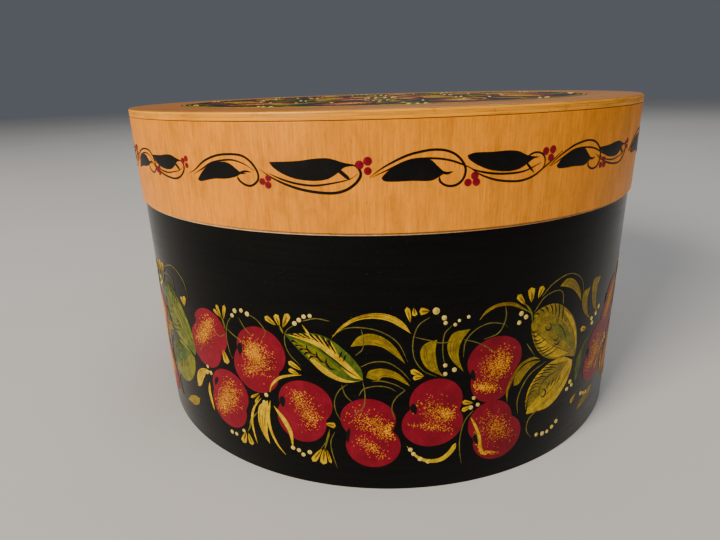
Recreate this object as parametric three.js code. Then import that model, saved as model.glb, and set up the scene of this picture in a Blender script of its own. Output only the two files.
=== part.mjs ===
// A round lidded box of bent wood: a tall black-lacquered hoop with a board let into its bottom,
// an inner collar that stands above the hoop's rim, and a loose lid that drops over the collar.
// Units are millimetres. +Z is up, and the origin is the middle of the face that the box stands on.
import * as THREE from 'three';

// ---- Driving dimensions ----
const BODY_OUTER_RADIUS = 119;
const BODY_HEIGHT = 103;
const BODY_WALL = 2.7;
const BOTTOM_THICKNESS = 4;
const COLLAR_WALL = 2;
const COLLAR_RISE = 15; // how far the collar stands above the body's rim
const COLLAR_GLUED_DEPTH = 20; // how far the collar reaches down inside the body
const LID_WALL = 3.4;
const LID_HOOP_HEIGHT = 35.4;
const LID_BOARD_THICKNESS = 3;

// ---- Clearances ----
const GLUE_LINE = 0.3; // between two pieces that are glued face to face
const LID_PLAY = 0.6; // round the collar, so that the lid slides on and off and can be turned
const LID_SEAT = 0.3; // under the lid's hoop, where it rests on the body's rim

// ---- Edge roundings ----
const RIM_ROUND = 0.9; // outer edges that are sanded and worn
const ARRIS_ROUND = 0.4; // edges that are only eased
const COLLAR_LEAD_IN = 1.2; // the collar's top outer edge, which guides the lid

// ---- Fineness ----
const SEGMENTS = 96;
const ROUND_STEPS = 2;

// ---- Sizes that follow from the values above ----
const bodyInnerRadius = BODY_OUTER_RADIUS - BODY_WALL;
const bottomRadius = bodyInnerRadius - GLUE_LINE;
const collarOuterRadius = bodyInnerRadius - GLUE_LINE;
const collarInnerRadius = collarOuterRadius - COLLAR_WALL;
const collarBottom = BODY_HEIGHT - COLLAR_GLUED_DEPTH;
const collarTop = BODY_HEIGHT + COLLAR_RISE;
const lidInnerRadius = collarOuterRadius + LID_PLAY;
const lidOuterRadius = lidInnerRadius + LID_WALL;
const lidBottom = BODY_HEIGHT + LID_SEAT;
const lidHoopTop = lidBottom + LID_HOOP_HEIGHT;
const lidBoardBottom = lidHoopTop + GLUE_LINE;
const lidBoardTop = lidBoardBottom + LID_BOARD_THICKNESS;

const blackLacquer = new THREE.MeshStandardMaterial({ color: 0x0c0b0b, roughness: 0.2, metalness: 0 });
const bareWood = new THREE.MeshStandardMaterial({ color: 0xc9a06a, roughness: 0.6, metalness: 0 });
const honeyWood = new THREE.MeshStandardMaterial({ color: 0xc88a42, roughness: 0.3, metalness: 0 });

// Turns corners given as [radius, height, rounding] into outline points.
// A corner with a rounding becomes a short curve that starts and ends that far from the corner.
function roundedOutline(corners) {
  const path = new THREE.Path();
  corners.forEach(([radius, height, rounding = 0], index) => {
    const corner = new THREE.Vector2(radius, height);
    const previous = new THREE.Vector2(...corners.at(index - 1));
    const next = new THREE.Vector2(...corners[(index + 1) % corners.length]);
    const start = previous.sub(corner).setLength(rounding).add(corner);
    const end = next.sub(corner).setLength(rounding).add(corner);
    if (index === 0) path.moveTo(start.x, start.y);
    else path.lineTo(start.x, start.y);
    if (rounding > 0) path.quadraticCurveTo(corner.x, corner.y, end.x, end.y);
  });
  return path.getPoints(ROUND_STEPS);
}

// Spins an outline about +Z. The outline runs up its outer side, so that the faces point out.
function turned(name, outlinePoints, material) {
  const geometry = new THREE.LatheGeometry(outlinePoints, SEGMENTS);
  geometry.rotateX(Math.PI / 2);
  const mesh = new THREE.Mesh(geometry, material);
  mesh.name = name;
  return mesh;
}

// A bent strip: a ring of one wall thickness, open at both ends.
function hoop(name, { inner, outer, bottom, top, rounds }, material) {
  const points = roundedOutline([
    [inner, bottom, rounds.innerBottom],
    [outer, bottom, rounds.outerBottom],
    [outer, top, rounds.outerTop],
    [inner, top, rounds.innerTop],
  ]);
  points.push(points[0].clone());
  return turned(name, points, material);
}

// A flat round board.
function board(name, { radius, bottom, top, bottomRound, topRound }, material) {
  const points = roundedOutline([
    [0, bottom],
    [radius, bottom, bottomRound],
    [radius, top, topRound],
    [0, top],
  ]);
  return turned(name, points, material);
}

// ---- The box ----
const bodyHoop = hoop('body_hoop', {
  inner: bodyInnerRadius,
  outer: BODY_OUTER_RADIUS,
  bottom: 0,
  top: BODY_HEIGHT,
  rounds: { innerBottom: 0, outerBottom: ARRIS_ROUND, outerTop: RIM_ROUND, innerTop: 0 },
}, blackLacquer);

const bottomBoard = board('bottom_board', {
  radius: bottomRadius,
  bottom: 0,
  top: BOTTOM_THICKNESS,
  bottomRound: 0,
  topRound: 0,
}, bareWood);

const collarHoop = hoop('collar_hoop', {
  inner: collarInnerRadius,
  outer: collarOuterRadius,
  bottom: collarBottom,
  top: collarTop,
  rounds: { innerBottom: 0, outerBottom: 0, outerTop: COLLAR_LEAD_IN, innerTop: ARRIS_ROUND },
}, bareWood);

// ---- The lid ----
const lidHoop = hoop('lid_hoop', {
  inner: lidInnerRadius,
  outer: lidOuterRadius,
  bottom: lidBottom,
  top: lidHoopTop,
  rounds: { innerBottom: ARRIS_ROUND, outerBottom: RIM_ROUND, outerTop: 0, innerTop: 0 },
}, honeyWood);

const lidBoard = board('lid_board', {
  radius: lidOuterRadius,
  bottom: lidBoardBottom,
  top: lidBoardTop,
  bottomRound: 0,
  topRound: RIM_ROUND,
}, honeyWood);

const box = new THREE.Group();
box.add(bodyHoop, bottomBoard, collarHoop);

const lid = new THREE.Group();
lid.add(lidHoop, lidBoard);

const lidded = new THREE.Group();
lidded.add(box, lid);

export default lidded;
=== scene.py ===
"""A round bent-wood box with a lift-off lid: honey-coloured varnished wood above, black lacquer below,
painted with apples, leaves, curls and cream dots. Shapes are worked out in millimetres."""
import math
import random

import bmesh
import bpy
import numpy as np
from mathutils import Matrix, Vector


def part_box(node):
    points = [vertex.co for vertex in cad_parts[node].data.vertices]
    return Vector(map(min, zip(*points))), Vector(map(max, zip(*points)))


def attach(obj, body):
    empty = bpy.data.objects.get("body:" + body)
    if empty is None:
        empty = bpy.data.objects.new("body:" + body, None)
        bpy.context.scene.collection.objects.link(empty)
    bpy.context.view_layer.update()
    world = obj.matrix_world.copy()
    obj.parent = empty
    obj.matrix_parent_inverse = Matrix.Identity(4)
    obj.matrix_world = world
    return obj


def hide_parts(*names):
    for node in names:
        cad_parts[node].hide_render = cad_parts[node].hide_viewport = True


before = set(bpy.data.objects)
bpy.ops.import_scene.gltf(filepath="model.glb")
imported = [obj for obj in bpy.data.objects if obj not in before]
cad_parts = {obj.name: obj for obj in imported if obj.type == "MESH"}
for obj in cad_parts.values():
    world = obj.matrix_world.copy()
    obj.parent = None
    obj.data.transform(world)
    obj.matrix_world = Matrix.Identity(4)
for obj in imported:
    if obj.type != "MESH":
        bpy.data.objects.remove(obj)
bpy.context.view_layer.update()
chance = random.Random(20)

MM = 0.001

# ---- Sizes taken from the frame, in millimetres ----
body_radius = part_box("body_hoop")[1].x / MM
body_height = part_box("body_hoop")[1].z / MM
bottom_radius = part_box("bottom_board")[1].x / MM
bottom_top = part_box("bottom_board")[1].z / MM
collar_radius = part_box("collar_hoop")[1].x / MM
collar_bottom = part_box("collar_hoop")[0].z / MM
collar_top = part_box("collar_hoop")[1].z / MM
lid_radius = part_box("lid_hoop")[1].x / MM
lid_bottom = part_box("lid_hoop")[0].z / MM
board_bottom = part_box("lid_board")[0].z / MM
lid_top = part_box("lid_board")[1].z / MM

GLUE_LINE = 0.3  # between glued pieces, as in the frame
COLLAR_WALL = 2.0
LID_WALL = 3.4
JOINT_LINE = 0.2  # what is left open where two glued edges show
BOARD_FIT = 0.2  # how far the bottom board's edge reaches into its glue line
BARE_FOOT = 0.2  # the lacquer starts this far above the table
BARE_RIM_AND_HIGHLIGHT = 0.55  # and ends this far below the body's rim; the lighter bare band above it is also a painted highlight line
INSIDE = 0.5  # a hoop is bare wood this near to its inner radius
TOP_EDGE = 0.25  # the lid top's darker wood, which carries painted shade, comes this far down its rounded edge
UNDERSIDE = 0.01  # the lid's board is bare wood this near to its bottom


# ---- Camera, floor and light ----

def add_object(name, data):
    added = bpy.data.objects.new(name, data)
    bpy.context.scene.collection.objects.link(added)
    return added


def place_camera():
    """Stands in front of the box and looks down at it, turned a little to the left."""
    radius = lid_radius * MM
    distance, height = 2.3623, 1.2425  # from the box's axis and above the table, in lid radii
    yaw, pitch, roll = (math.radians(a) for a in (-2.69, 19.5, -1.76))
    forward = Vector((
        math.sin(yaw) * math.cos(pitch), math.cos(yaw) * math.cos(pitch), -math.sin(pitch)))
    level = Vector((math.cos(yaw), -math.sin(yaw), 0))
    above = level.cross(forward)
    right = math.cos(roll) * level + math.sin(roll) * above
    up = math.cos(roll) * above - math.sin(roll) * level
    data = bpy.data.cameras.new("camera")
    data.sensor_width = 36
    data.lens = 26.27
    camera = add_object("camera", data)
    turn = Matrix((right, up, -forward)).transposed().to_4x4()
    camera.matrix_world = Matrix.Translation((0, -distance * radius, height * radius)) @ turn
    bpy.context.scene.camera = camera


def lay_floor(radius=4, sides=96):
    """A wide round floor. The lights are near the box, so it darkens towards its edge."""
    turns = [2 * math.pi * step / sides for step in range(sides)]
    mesh = bpy.data.meshes.new("floor")
    mesh.from_pydata([(radius * math.cos(turn), radius * math.sin(turn), 0) for turn in turns],
                     [], [range(sides)])
    mesh.materials.append(floor_material())
    floor = add_object("floor", mesh)


def softbox(name, place, size, power, colour):
    """A rectangular soft light that faces the middle of the box."""
    data = bpy.data.lights.new(name, "AREA")
    data.shape = "RECTANGLE"
    data.size, data.size_y = size
    data.energy = power
    data.color = colour
    light = add_object(name, data)
    light.location = place
    middle = Vector((0, 0, lid_top * MM / 2))
    light.rotation_euler = (middle - Vector(place)).to_track_quat("-Z", "Y").to_euler()


def light_studio():
    softbox("key", (-1.5, -1.65, 1.2), (0.9, 0.8), 70, (1, 0.9, 0.76))
    softbox("overhead", (0.2, -0.6, 1.9), (1.4, 1.2), 9, (1, 0.98, 0.95))
    softbox("fill_right", (1.8, -0.9, 0.8), (0.8, 1.0), 3, (1, 0.96, 0.9))
    softbox("back", (0.4, 1.6, 1.5), (1.4, 0.8), 6, (1, 0.98, 0.95))
    world = bpy.data.worlds.new("studio")
    world.use_nodes = True
    background = world.node_tree.nodes["Background"]
    background.inputs["Color"].default_value = (0.8, 0.86, 1, 1)
    background.inputs["Strength"].default_value = 0.12
    bpy.context.scene.world = world


# ---- Materials ----

ACROSS, UP = 0, 2  # the axes that the fibres of the wood run along


def new_material(name):
    material = bpy.data.materials.new(name)
    material.use_nodes = True
    return material, material.node_tree


def node(tree, kind, inputs=None, **settings):
    """Adds a node. Each input is a value or another node's output."""
    made = tree.nodes.new("ShaderNode" + kind)
    for name, value in settings.items():
        setattr(made, name, value)
    for key, value in (inputs or {}).items():
        if isinstance(value, bpy.types.NodeSocket):
            tree.links.new(value, made.inputs[key])
        else:
            made.inputs[key].default_value = value
    return made


def maths(tree, operation, first, second=0.0):
    return node(tree, "Math", {0: first, 1: second}, operation=operation).outputs[0]


def plus(tree, first, second, share):
    """Adds a share of the second output to the first."""
    return maths(tree, "ADD", first, maths(tree, "MULTIPLY", second, share))


def scaled(tree, vector, scale):
    return node(tree, "Mapping", {"Vector": vector, "Scale": scale}).outputs[0]


def noise(tree, vector, scale, detail, roughness=0.55, distortion=0.0):
    inputs = {"Vector": vector, "Scale": scale, "Detail": detail, "Roughness": roughness,
              "Distortion": distortion}
    return node(tree, "TexNoise", inputs).outputs["Fac"]


def ramp(tree, factor, stops):
    """A colour ramp. Each stop is a place from 0 to 1 and a colour or a grey."""
    made = node(tree, "ValToRGB", {"Fac": factor})
    elements = made.color_ramp.elements
    while len(elements) < len(stops):
        elements.new(0.5)
    for element, (place, colour) in zip(elements, stops):
        element.position = place
        element.color = (*colour, 1) if isinstance(colour, tuple) else (colour, colour, colour, 1)
    return made.outputs["Color"]


def mixed(tree, factor, first, second, blend="MIX"):
    made = node(tree, "Mix", data_type="RGBA", blend_type=blend)
    for socket, value in ((made.inputs["Factor"], factor), (made.inputs[6], first),
                          (made.inputs[7], second)):
        if isinstance(value, bpy.types.NodeSocket):
            tree.links.new(value, socket)
        elif isinstance(value, tuple):
            socket.default_value = (*value, 1)
        else:
            socket.default_value = value
    return made.outputs[2]


def shaded(tree, colour, strength, factor, stops):
    """Darkens and lightens a colour by a ramp of greys."""
    return mixed(tree, strength, colour, ramp(tree, factor, stops), "MULTIPLY")


def set_surface(tree, colour, wear, roughness, height, relief, shine=0.5, coat=(0, 0.03)):
    """Joins to the shader a colour, a roughness that goes from its first to its second value with
    the wear, and a relief in metres. coat is the weight and the roughness of the varnish."""
    shader = tree.nodes["Principled BSDF"]
    rough = node(tree, "MapRange", {"Value": wear, "To Min": roughness[0], "To Max": roughness[1]})
    bump = node(tree, "Bump", {"Height": height, "Distance": relief, "Strength": 1})
    tree.links.new(colour, shader.inputs["Base Color"])
    tree.links.new(rough.outputs[0], shader.inputs["Roughness"])
    tree.links.new(bump.outputs[0], shader.inputs["Normal"])
    for name, value in zip(("Specular IOR Level", "Coat Weight", "Coat Roughness"), (shine, *coat)):
        shader.inputs[name].default_value = value


def object_place(tree):
    return node(tree, "TexCoord").outputs["Object"]


def unrolled_place(tree):
    """Coordinates of the bent strip laid flat: along its length, out through it, and up its height.
    They meet at the back, where the strip's ends are lapped."""
    parts = node(tree, "SeparateXYZ", {0: object_place(tree)})
    x, y, z = parts.outputs
    angle = maths(tree, "ARCTAN2", x, maths(tree, "MULTIPLY", y, -1))
    length = maths(tree, "MULTIPLY", angle, lid_radius * MM)
    out = maths(tree, "SQRT", maths(tree, "ADD", maths(tree, "MULTIPLY", x, x),
                                    maths(tree, "MULTIPLY", y, y)))
    return node(tree, "CombineXYZ", {0: length, 1: out, 2: z}).outputs[0]


def grained_wood(name, place_of, along, tones, roughness, shine=0.5, coat=(0, 0.03)):
    """Wood whose fibres run along one axis of its coordinates. tones go from dark to light."""
    material, tree = new_material(name)
    place = place_of(tree)

    def drawn_out(share):
        stretch = [1.0, 1.0, 1.0]
        stretch[along] = share
        return scaled(tree, place, stretch)

    fibres = noise(tree, drawn_out(0.06), 1500, 5, 0.65, 0.25)
    bands = noise(tree, drawn_out(0.06), 520, 4, 0.6, 0.6)
    # Broad light and dark mottles. They are partly the wood's own blotches and partly a painted shimmer
    # of sheen on the varnish.
    mottles_and_sheen = noise(tree, drawn_out(0.5), 110, 5, 0.65, 0.5)
    flecks = noise(tree, drawn_out(0.25), 1500, 2, 0.5)
    dark, middle, light = tones
    base = ramp(tree, bands, [(0.2, dark), (0.5, middle), (0.8, light)])
    base = shaded(tree, base, 0.5, fibres, [(0.32, 0.55), (0.5, 0.96), (0.68, 1.25)])
    base = shaded(tree, base, 0.8, mottles_and_sheen, [(0.32, 0.76), (0.52, 1.0), (0.7, 1.14)])
    base = shaded(tree, base, 0.5, flecks, [(0.28, 0.55), (0.4, 1.0)])
    height = plus(tree, fibres, flecks, 0.6)
    set_surface(tree, base, fibres, roughness, height, 0.00004, shine, coat)
    return material


def honey_wood():
    tones = ((0.79, 0.235, 0.0003), (0.88, 0.285, 0.0005), (0.98, 0.34, 0.001))
    return grained_wood("honey_wood", unrolled_place, UP, tones, (0.5, 0.3), 0.18, (0.04, 0.16))


# The lid's top: the hoop's honey wood painted darker and greyer. The darkening is painted shade and the
# grey is a painted reflection.
def shaded_lid_top_wood():
    tones = ((0.4, 0.13, 0.004), (0.54, 0.19, 0.008), (0.66, 0.26, 0.016))
    return grained_wood("shaded_lid_top_wood", object_place, ACROSS, tones, (0.46, 0.28), 0.3, (0.12, 0.14))


def bare_wood(name, place_of, along):
    tones = ((0.5, 0.31, 0.14), (0.62, 0.41, 0.2), (0.72, 0.51, 0.28))
    return grained_wood(name, place_of, along, tones, (0.72, 0.5))


def plywood_edge():
    """The lid board's edge: three plies with dark glue lines, streaked along the edge."""
    material, tree = new_material("plywood_edge")
    place = unrolled_place(tree)
    height = node(tree, "SeparateXYZ", {0: place}).outputs[2]
    wobble = noise(tree, scaled(tree, place, (1, 1, 0.2)), 45, 2)
    level = node(tree, "MapRange", {
        "Value": height, "From Min": board_bottom * MM, "From Max": lid_top * MM}).outputs[0]
    level = plus(tree, level, maths(tree, "SUBTRACT", wobble, 0.5), 0.1)
    dark, mid, light = (0.6, 0.19, 0.0008), (0.84, 0.3, 0.0015), (0.98, 0.4, 0.003)
    plies = ramp(tree, level, [
        (0.0, mid), (0.3, light), (0.345, dark), (0.39, mid), (0.62, mid), (0.66, dark),
        (0.71, light), (1.0, light)])
    streaks = noise(tree, scaled(tree, place, (0.05, 1, 1)), 1300, 4, 0.6)
    plies = shaded(tree, plies, 0.75, streaks, [(0.3, 0.55), (0.5, 1.0), (0.7, 1.25)])
    plies = shaded(tree, plies, 0.6, noise(tree, place, 320, 3, 0.6), [(0.28, 0.5), (0.42, 1.0)])
    set_surface(tree, plies, streaks, (0.55, 0.3), streaks, 0.00008, 0.3, (0.15, 0.14))
    return material


def black_lacquer():
    """Brushed black lacquer: faint level brush marks, a few specks of dust under the gloss."""
    material, tree = new_material("black_lacquer")
    place = unrolled_place(tree)
    brush = noise(tree, scaled(tree, place, (0.05, 1, 1)), 420, 5, 0.65, 0.3)
    sags = noise(tree, scaled(tree, place, (0.3, 1, 1)), 60, 2, 0.5)
    specks = ramp(tree, noise(tree, place, 2200, 1, 0.5), [(0.73, 0.0), (0.79, 1.0)])
    base = ramp(tree, brush, [(0.35, (0.0012, 0.001, 0.0008)), (0.7, (0.003, 0.0027, 0.0022))])
    base = mixed(tree, specks, base, (0.03, 0.028, 0.024))
    height = plus(tree, plus(tree, brush, sags, 1.5), specks, 0.5)
    set_surface(tree, base, brush, (0.1, 0.3), height, 0.00009, 0.09)
    return material


def paint(name, tones, scale):
    """Brushed-on paint under varnish, uneven in tone from dark to light."""
    material, tree = new_material(name)
    place = object_place(tree)
    patches = noise(tree, place, scale, 3, 0.6, 0.4)
    bristles = noise(tree, scaled(tree, place, (1, 1, 0.35)), scale * 8, 3, 0.6)
    blend = plus(tree, maths(tree, "MULTIPLY", patches, 0.65), bristles, 0.35)
    dark, middle, light = tones
    colour = ramp(tree, blend, [(0.34, dark), (0.5, middle), (0.66, light)])
    set_surface(tree, colour, bristles, (0.28, 0.45), bristles, 0.00005, 0.14)
    return material


def floor_material():
    material, tree = new_material("floor")
    shader = tree.nodes["Principled BSDF"]
    grain = noise(tree, object_place(tree), 3, 3)
    pale = ramp(tree, grain, [(0.3, (0.68, 0.68, 0.67)), (0.7, (0.73, 0.73, 0.72))])
    tree.links.new(pale, shader.inputs["Base Color"])
    shader.inputs["Roughness"].default_value = 0.75
    return material


# ---- Turned pieces ----

CURVE_STEPS = 5  # in the curve of a rounded corner
SEGMENTS = 384  # round the ring


def cross_section(inner, outer, bottom, top, roundings):
    """A rectangle between two radii and two heights. The roundings of its corners go from the inner
    bottom one to the outer bottom one and on round. A rounded corner is a short curve."""
    corners = [Vector(corner) for corner in (
        (inner, bottom), (outer, bottom), (outer, top), (inner, top))]
    points = []
    for index, (corner, rounding) in enumerate(zip(corners, roundings)):
        if rounding == 0:
            points.append(corner)
            continue
        start = corner + (corners[index - 1] - corner).normalized() * rounding
        end = corner + (corners[(index + 1) % 4] - corner).normalized() * rounding
        for step in range(CURVE_STEPS + 1):
            t = step / CURVE_STEPS
            points.append(start * (1 - t) ** 2 + corner * 2 * t * (1 - t) + end * t ** 2)
    return points


SEAM = math.pi  # the lap of each bent strip is at the back
SEAM_WIDTH = 0.35
SEAM_DEPTH = 0.14
SEAM_REACH = 1  # how far in from the outside the lap shows


def ring_angles(radius, seam):
    """Even steps round the ring, with finer ones where the lap of a seam shows."""
    even = [2 * math.pi * step / SEGMENTS for step in range(SEGMENTS)]
    if not seam:
        return even
    fine = [SEAM + offset * SEAM_WIDTH / radius for offset in (-2, -1, -0.5, 0, 0.5, 1, 2)]
    apart = 2.5 * SEAM_WIDTH / radius
    return sorted([angle for angle in even if abs(angle - SEAM) > apart] + fine)


def finish_piece(name, mesh, made, materials, sharp):
    """Makes an object of a bmesh: smooth, but for edges that turn more than sharp degrees."""
    bmesh.ops.recalc_face_normals(made, faces=made.faces)
    for face in made.faces:
        face.smooth = True
    made.to_mesh(mesh)
    made.free()
    mesh.set_sharp_from_angle(angle=math.radians(sharp))
    for material in materials:
        mesh.materials.append(material)
    return add_object(name, mesh)


def turned_piece(name, outline, materials, material_of, seam=False):
    """Spins an outline about the vertical axis. An outline that reaches the axis ends there.
    material_of(radius, height) gives the material's index for each strip of faces."""
    made = bmesh.new()
    outer = max(point.x for point in outline)
    on_axis = {index: made.verts.new((0, 0, point.y * MM))
               for index, point in enumerate(outline) if point.x == 0}
    columns = []
    for angle in ring_angles(outer, seam):
        dent = SEAM_DEPTH * math.exp(-((angle - SEAM) * outer / SEAM_WIDTH) ** 2) if seam else 0
        column = []
        for index, point in enumerate(outline):
            if index in on_axis:
                column.append(on_axis[index])
                continue
            radius = point.x - (dent if point.x > outer - SEAM_REACH else 0)
            column.append(made.verts.new((
                radius * math.sin(angle) * MM, -radius * math.cos(angle) * MM, point.y * MM)))
        columns.append(column)
    strips = range(len(outline) - 1 if on_axis else len(outline))
    for here, there in zip(columns, columns[1:] + columns[:1]):
        for strip in strips:
            below, above = strip, (strip + 1) % len(outline)
            corners = []
            for vert in (here[below], there[below], there[above], here[above]):
                if vert not in corners:
                    corners.append(vert)
            face = made.faces.new(corners)
            middle = (outline[below] + outline[above]) / 2
            face.material_index = material_of(middle.x, middle.y)
    return finish_piece(name, bpy.data.meshes.new(name), made, materials, sharp=40)


def settle(piece, body, slot, *nodes):
    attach(piece, body)
    if nodes:
        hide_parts(*nodes)


def build_box():
    lacquer = black_lacquer()
    strip_wood = bare_wood("strip_wood", unrolled_place, UP)
    board_wood = bare_wood("board_wood", object_place, ACROSS)
    inner = bottom_radius + GLUE_LINE
    outline = cross_section(inner, body_radius, 0, body_height, (0.2, 0.5, 0.9, 0.3))

    def shell_material(radius, height):
        # The lacquer stops short of the rim. The lighter band there is partly bare wood and partly a
        # painted highlight along the rim.
        lacquered = BARE_FOOT < height < body_height - BARE_RIM_AND_HIGHLIGHT
        return 0 if radius > inner + INSIDE and lacquered else 1

    shell = turned_piece("body_shell", outline, [lacquer, strip_wood], shell_material, True)
    settle(shell, "box", "black_lacquer", "body_hoop")

    outline = cross_section(0, bottom_radius + BOARD_FIT, 0, bottom_top, (0, 0.3, 0.2, 0))
    panel = turned_piece("bottom_panel", outline, [board_wood], lambda radius, height: 0)
    settle(panel, "box", "bottom_plywood", "bottom_board")

    outline = cross_section(collar_radius - COLLAR_WALL, collar_radius, collar_bottom, collar_top,
                            (0.3, 0, 1.1, 0.6))
    collar = turned_piece("collar_ring", outline, [strip_wood], lambda radius, height: 0, True)
    settle(collar, "box", "bare_wood", "collar_hoop")


def build_lid():
    honey = honey_wood()
    lining = bare_wood("lid_lining", unrolled_place, UP)
    inner = lid_radius - LID_WALL
    outline = cross_section(inner, lid_radius, lid_bottom, board_bottom - JOINT_LINE,
                            (0.5, 0.5, 0.3, 0))

    def ring_material(radius, height):
        return 0 if radius > inner + INSIDE else 1

    ring = turned_piece("lid_ring", outline, [honey, lining], ring_material, True)
    settle(ring, "lid", "honey_wood", "lid_hoop")

    outline = cross_section(0, lid_radius, board_bottom, lid_top, (0, 0.22, 0.9, 0))
    woods = [shaded_lid_top_wood(), plywood_edge(), bare_wood("lid_underside", object_place, ACROSS)]

    def board_material(radius, height):
        if height < board_bottom + UNDERSIDE:
            return 2
        return 0 if height > lid_top - TOP_EDGE else 1

    panel = turned_piece("lid_panel", outline, woods, board_material)
    settle(panel, "lid", "lid_plywood", "lid_board")


# ---- Painted shapes ----

ROOT = -0.05  # painted shapes start this far under the surface that they lie on
DEEP_ROOT = -0.4  # under the middle of a round patch, so that a curved surface hides it
FIELD, BASE, GLAZE, LINE, DOT = 0.03, 0.08, 0.12, 0.16, 0.16  # heights of the layers of paint
CROWN = 0.04  # how much a stroke swells
THIN = 0.1  # width of a stroke's thin end
STEP = 0.9  # length of one step along a stroke


def smooth_line(points, count=None):
    """Evenly spaced points on a Catmull-Rom curve through the given points."""
    given = np.array(points, float)
    ends = [2 * given[0] - given[1], *given, 2 * given[-1] - given[-2]]
    dense = []
    for a, b, c, d in zip(ends, ends[1:], ends[2:], ends[3:]):
        for t in np.linspace(0, 1, 12, endpoint=False):
            dense.append(0.5 * (2 * b + (c - a) * t + (2 * a - 5 * b + 4 * c - d) * t ** 2
                                + (3 * b - a - 3 * c + d) * t ** 3))
    dense = np.array(dense + [given[-1]])
    lengths = np.concatenate([[0], np.cumsum(np.hypot(*np.diff(dense, axis=0).T))])
    count = count or max(8, int(lengths[-1] / STEP) + 1)
    wanted = np.linspace(0, lengths[-1], count)
    return np.stack([np.interp(wanted, lengths, dense[:, axis]) for axis in (0, 1)], 1)


class Sheet:
    """A surface to paint on. It gathers closed thin shapes by paint, in flat millimetres:
    along, up and out. place turns those into the row's frame."""

    def __init__(self, place):
        self.place = place
        self.shapes = {}
        self.move((0, 0))

    def move(self, shift, turn=0.0, size=1.0):
        """What is painted next is scaled, turned by degrees and shifted."""
        angle = math.radians(turn)
        self.matrix = size * np.array([[math.cos(angle), -math.sin(angle)],
                                       [math.sin(angle), math.cos(angle)]])
        self.shift = np.array(shift, float)

    def add(self, colour, flat, out, faces):
        moved = np.asarray(flat, float) @ self.matrix.T + self.shift
        points, polygons = self.shapes.setdefault(colour, ([], []))
        start = sum(len(group) for group in points)
        points.append(np.column_stack([moved, out]))
        polygons.extend([[start + corner for corner in face] for face in faces])

    def ribbon(self, colour, left, right, layer, across, crown=CROWN):
        """A painted patch between two edge lines of the same number of points, with a number of
        strips of faces across. crown is how much it swells towards its middle."""
        left, right = np.asarray(left, float), np.asarray(right, float)
        share = np.linspace(0, 1, across + 1)
        section = np.concatenate([share, [1, 0]])
        out = np.concatenate([layer + crown * np.sin(np.pi * share) ** 0.7, [ROOT, ROOT]])
        row, count = len(section), len(left)
        flat = left[:, None] + (right - left)[:, None] * section[None, :, None]
        faces = []
        for step in range(count - 1):
            for corner in range(row):
                after = (corner + 1) % row
                faces.append((step * row + corner, (step + 1) * row + corner,
                              (step + 1) * row + after, step * row + after))
        faces += [range(row), range((count - 1) * row, count * row)]
        self.add(colour, flat.reshape(-1, 2), np.tile(out, count), faces)

    def stroke(self, colour, points, width, layer=LINE, taper=(0.5, 0.5), across=2):
        """A brush stroke. taper says how much of its length each end thins out over."""
        line = smooth_line(points)
        along = np.gradient(line, axis=0)
        along /= np.hypot(*along.T)[:, None]
        side = np.stack([-along[:, 1], along[:, 0]], 1)
        t = np.linspace(0, 1, len(line))
        rise = np.sin(np.pi / 2 * np.minimum(1, t / max(taper[0], 0.01)))
        fall = np.sin(np.pi / 2 * np.minimum(1, (1 - t) / max(taper[1], 0.01)))
        half = np.maximum(width / 2 * (rise * fall) ** 0.75, THIN / 2)[:, None]
        self.ribbon(colour, line + side * half, line - side * half, layer, across)

    def crescent(self, colour, outer, inner, layer=BASE, across=4):
        """A patch between two curves that meet at both ends."""
        count = max(12, len(smooth_line(outer)))
        self.ribbon(colour, smooth_line(outer, count), smooth_line(inner, count), layer, across)

    def blob(self, colour, centre, reach, layer, crown, sectors, rings):
        """A patch round a centre. reach gives its radius at each angle."""
        angles = np.linspace(0, 2 * np.pi, sectors, endpoint=False)
        edge = np.array([reach(angle) for angle in angles])[:, None] * np.stack(
            [np.cos(angles), np.sin(angles)], 1)
        flat, out = [np.zeros((1, 2))], [layer + crown]
        for ring in range(1, rings + 1):
            share = ring / rings
            flat.append(edge * share)
            out += [layer + crown * (1 - share ** 2)] * sectors
        flat += [edge, np.zeros((1, 2))]
        out += [ROOT] * sectors + [DEEP_ROOT]
        faces = []
        last = 1 + (rings + 1) * sectors
        for corner in range(sectors):
            after = (corner + 1) % sectors
            faces.append((0, 1 + corner, 1 + after))
            for ring in range(rings):
                first = 1 + ring * sectors
                faces.append((first + corner, first + sectors + corner,
                              first + sectors + after, first + after))
            faces.append((last - sectors + corner, last, last - sectors + after))
        self.add(colour, np.concatenate(flat) + np.array(centre), out, faces)

    def dot(self, colour, centre, radius, layer=DOT, crown=0.22):
        self.blob(colour, centre, lambda angle: radius, layer, crown, sectors=14, rings=3)

    def dab(self, colour, centre, long, short, turn):
        """A tiny touch of the brush: a low four-sided point."""
        angles = np.arange(4) * np.pi / 2 + chance.uniform(0, 1)
        edge = np.stack([long * np.cos(angles), short * np.sin(angles)], 1)
        c, s = math.cos(turn), math.sin(turn)
        edge = edge @ np.array([[c, s], [-s, c]])
        flat = np.concatenate([np.zeros((1, 2)), edge]) + np.array(centre)
        out = [GLAZE + 0.07] + [GLAZE - 0.05] * 4
        faces = [(0, 1 + k, 1 + (k + 1) % 4) for k in range(4)] + [range(1, 5)]
        self.add(colour, flat, out, faces)

    def finish(self, prefix, paints, body, slot):
        """Makes one piece of each paint."""
        for colour, (points, polygons) in self.shapes.items():
            points = np.concatenate(points)
            name = f"{prefix}_{colour}"
            mesh = bpy.data.meshes.new(name)
            mesh.from_pydata(self.place(points) * MM, [], polygons)
            made = bmesh.new()
            made.from_mesh(mesh)
            piece = finish_piece(name, mesh, made, [paints[colour]], sharp=50)
            settle(piece, body, slot)


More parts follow.
